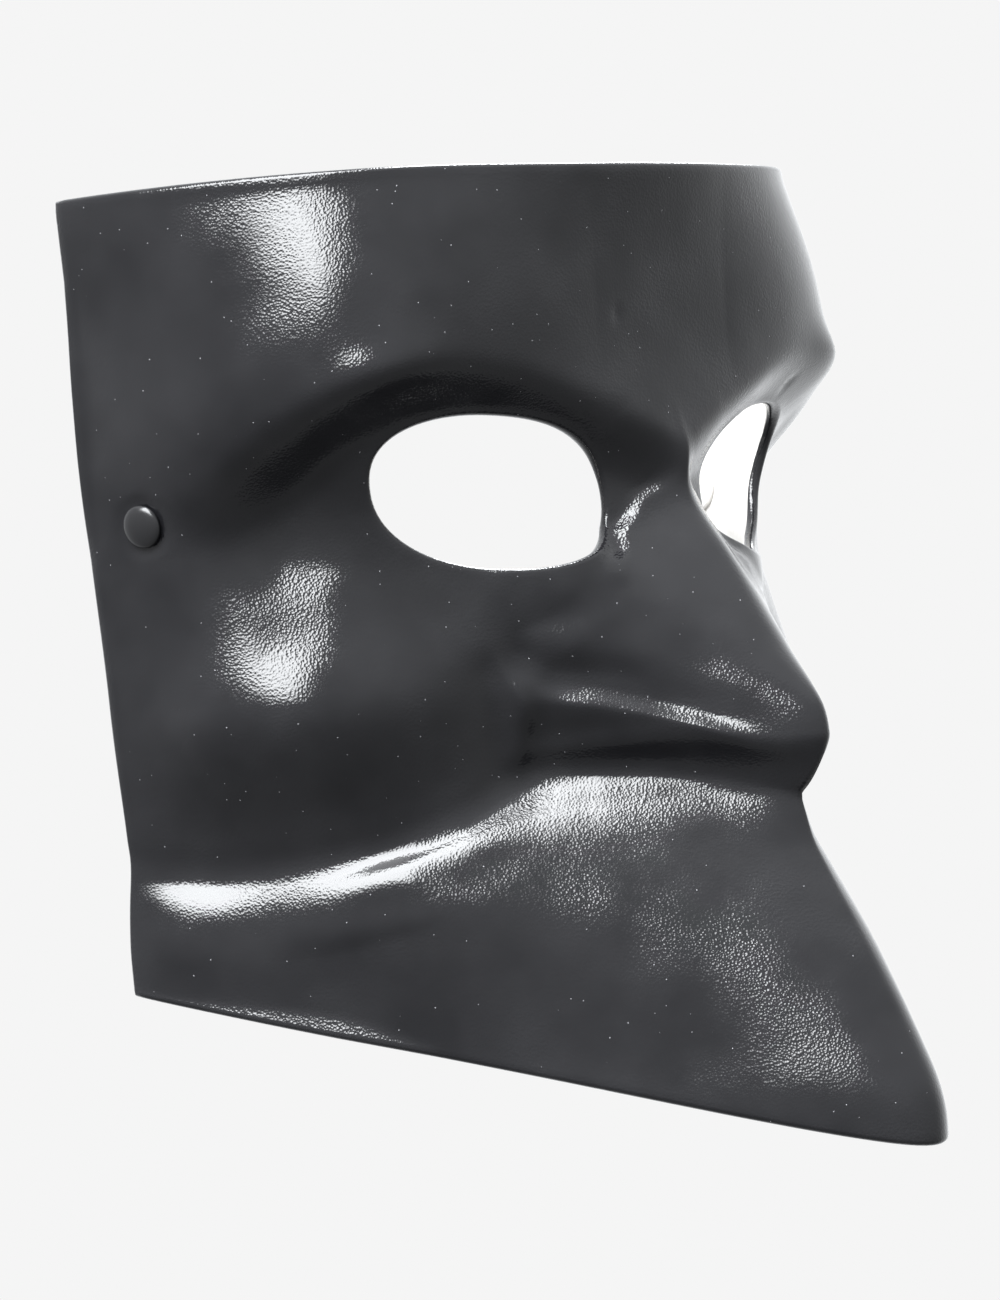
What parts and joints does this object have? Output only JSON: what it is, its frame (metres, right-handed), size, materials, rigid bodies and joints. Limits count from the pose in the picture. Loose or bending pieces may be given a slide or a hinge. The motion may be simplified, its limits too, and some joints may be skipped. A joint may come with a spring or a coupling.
{
  "type": "bauta mask",
  "caption": "Full-face bauta mask: a thin black shell with a heavy brow, oval eye holes, a wedge nose and a jutting open jaw, with rivets for a cord at the temples.",
  "frame": {"origin": "middle of the mask's length and width, on the plane of its back edges", "axes": "+Y up the face from the chin to the brow, +X to the wearer's left, +Z out of the face; it lies on its back edges"},
  "size_m": [0.1742, 0.1952, 0.13],
  "materials": {
    "black_paper": "satin-gloss black paint on papier-mache, finely pebbled like leather",
    "black_rivet": "glossy black paint on metal"
  },
  "bodies": {
    "root": {"mask_shell": "black_paper", "rivet_right": "black_rivet", "rivet_left": "black_rivet"}
  },
  "joints": []
}
